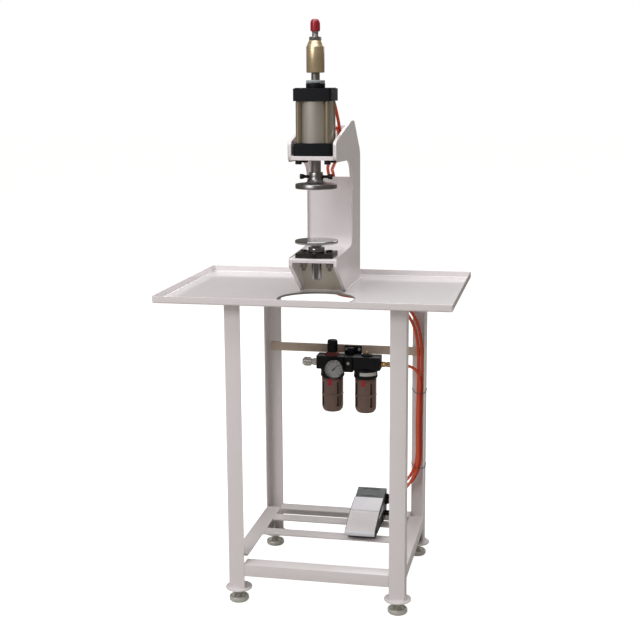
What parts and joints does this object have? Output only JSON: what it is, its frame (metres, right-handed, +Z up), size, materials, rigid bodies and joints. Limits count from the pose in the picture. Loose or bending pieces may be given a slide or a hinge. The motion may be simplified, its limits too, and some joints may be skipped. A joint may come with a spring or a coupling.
{
  "type": "snap setting press",
  "caption": "Air-operated C-frame snap setting press with opposed die plates, on a tray-topped angle stand with air unit and foot pedal.",
  "frame": {"origin": "on the floor, under the middle of the tray's outline", "axes": "+Z up; +Y from the operator towards the column; +X to the operator's right"},
  "size_m": [0.734, 0.524, 1.4607],
  "materials": {
    "powder_coat": "glossy off-white powder coat with a fine orange peel",
    "black_paint": "satin black anodised and painted casting",
    "aluminium": "satin drawn tube",
    "tie_steel": "drawn steel with a brown tint",
    "zinc": "dull zinc plate",
    "yellow_zinc": "yellow zinc plate, turned",
    "steel": "ground and polished steel",
    "dark_steel": "oiled dark steel",
    "black_oxide": "black oxide fasteners",
    "red_plastic": "glossy red moulding",
    "damper": "grey damping rubber",
    "black_plastic": "moulded black nylon",
    "smoked_bowl": "smoky brown clear bowl with a guard",
    "chrome": "nickel plate",
    "brass": "turned brass",
    "dial": "white dial behind a clear lens",
    "treadle_alloy": "rolled aluminium, worn bright",
    "hose": "orange-red polyurethane tube"
  },
  "bodies": {
    "press_frame": {"table_tray": "powder_coat", "leg_front_left": "powder_coat", "leg_front_right": "powder_coat", "leg_rear_left": "powder_coat", "leg_rear_right": "powder_coat", "rail_front": "powder_coat", "rail_rear": "powder_coat", "rail_left": "powder_coat", "rail_right": "powder_coat", "pedal_bar_front": "powder_coat", "pedal_bar_rear": "powder_coat", "air_unit_bar": "powder_coat", "side_plate_left": "powder_coat", "side_plate_right": "powder_coat", "column_web": "powder_coat", "jaw_brace": "powder_coat", "cylinder_bracket": "powder_coat", "cylinder_head_bottom": "black_paint", "cylinder_head_top": "black_paint", "cylinder_tube": "aluminium", "tie_rod_1": "tie_steel", "tie_rod_2": "tie_steel", "tie_rod_3": "tie_steel", "tie_rod_4": "tie_steel", "die_block": "dark_steel", "block_bolt_left": "black_oxide", "block_bolt_right": "black_oxide", "damper_washer": "damper", "unit_bracket": "black_plastic", "regulator_body": "black_plastic", "lubricator_body": "black_plastic", "pedal_body": "black_plastic", "filter_bowl": "smoked_bowl", "lubricator_bowl": "smoked_bowl", "quick_coupler": "chrome", "outlet_fitting": "brass", "pressure_gauge": "dial", "pedal_cover": "treadle_alloy", "hose_press": "hose", "hose_return": "hose", "hose_supply": "hose"},
    "ram": {"ram_rod": "steel", "piston": "aluminium", "rod_cap": "red_plastic", "upper_die_holder": "steel"},
    "stroke_sleeve": {"stroke_sleeve": "yellow_zinc"},
    "jam_nut": {"jam_nut": "black_oxide"},
    "die_clamp_left": {"die_clamp_screw_left": "black_oxide"},
    "die_clamp_right": {"die_clamp_screw_right": "black_oxide"},
    "lower_die": {"lower_die": "steel"},
    "set_screw": {"block_set_screw": "black_oxide"},
    "regulator_knob": {"regulator_knob": "black_plastic"},
    "gauge_needle": {"gauge_needle": "red_plastic"},
    "lubricator_screw": {"lubricator_screw": "brass"},
    "coupler_sleeve": {"coupler_sleeve": "chrome"},
    "treadle": {"pedal_treadle": "treadle_alloy"},
    "foot_front_left": {"levelling_foot_front_left": "zinc"},
    "foot_front_right": {"levelling_foot_front_right": "zinc"},
    "foot_rear_left": {"levelling_foot_rear_left": "zinc"},
    "foot_rear_right": {"levelling_foot_rear_right": "zinc"}
  },
  "joints": [
    {"name": "ram_stroke", "type": "slide", "parent": "press_frame", "child": "ram", "axis": [0, 0, -1], "range_m": [0, 0.0173]},
    {"name": "stroke_adjust", "type": "slide", "parent": "ram", "child": "stroke_sleeve", "axis": [0, 0, 1], "range_m": [0, 0.012]},
    {"name": "jam_nut_adjust", "type": "slide", "parent": "ram", "child": "jam_nut", "axis": [0, 0, 1], "range_m": [0, 0.012]},
    {"name": "die_clamp_left_turn", "type": "hinge", "parent": "ram", "child": "die_clamp_left", "pos_m": [0.011, -0.1, 1.083], "axis": [-1, 0, 0], "continuous": true},
    {"name": "die_clamp_right_turn", "type": "hinge", "parent": "ram", "child": "die_clamp_right", "pos_m": [0.011, -0.1, 1.083], "axis": [1, 0, 0], "continuous": true},
    {"name": "lower_die_height", "type": "slide", "parent": "press_frame", "child": "lower_die", "axis": [0, 0, 1], "range_m": [0, 0.02]},
    {"name": "set_screw_turn", "type": "hinge", "parent": "press_frame", "child": "set_screw", "pos_m": [0.011, -0.1, 0.89015], "axis": [0, -1, 0], "continuous": true},
    {"name": "regulator_knob_turn", "type": "hinge", "parent": "press_frame", "child": "regulator_knob", "pos_m": [-0.002, 0.17, 0.6], "axis": [0, 0, 1], "continuous": true},
    {"name": "gauge_needle_swing", "type": "hinge", "parent": "press_frame", "child": "gauge_needle", "pos_m": [0.008, 0.1337, 0.541], "axis": [0, 1, 0], "range_deg": [-180, 90], "stiffness_Nm_per_rad": 0.001},
    {"name": "lubricator_screw_turn", "type": "hinge", "parent": "press_frame", "child": "lubricator_screw", "pos_m": [0.095, 0.17, 0.584], "axis": [0, 0, 1], "continuous": true},
    {"name": "coupler_sleeve_pull", "type": "slide", "parent": "press_frame", "child": "coupler_sleeve", "axis": [1, 0, 0], "range_m": [0, 0.004], "stiffness_N_per_m": 1500, "springref_m": -0.003},
    {"name": "treadle_press", "type": "hinge", "parent": "press_frame", "child": "treadle", "pos_m": [0.1095, 0.044, 0.16], "axis": [1, 0, 0], "range_deg": [0, 9], "stiffness_Nm_per_rad": 12, "springref_deg": -6.88},
    {"name": "foot_front_left_turn", "type": "hinge", "parent": "press_frame", "child": "foot_front_left", "pos_m": [-0.178, -0.198, 0.03], "axis": [0, 0, 1], "continuous": true},
    {"name": "foot_front_right_turn", "type": "hinge", "parent": "press_frame", "child": "foot_front_right", "pos_m": [0.234, -0.198, 0.03], "axis": [0, 0, 1], "continuous": true},
    {"name": "foot_rear_left_turn", "type": "hinge", "parent": "press_frame", "child": "foot_rear_left", "pos_m": [-0.178, 0.198, 0.03], "axis": [0, 0, 1], "continuous": true},
    {"name": "foot_rear_right_turn", "type": "hinge", "parent": "press_frame", "child": "foot_rear_right", "pos_m": [0.234, 0.198, 0.03], "axis": [0, 0, 1], "continuous": true}
  ],
  "couplings": [
    {"joint": "jam_nut_adjust", "follows": "stroke_adjust", "ratio": 1}
  ]
}
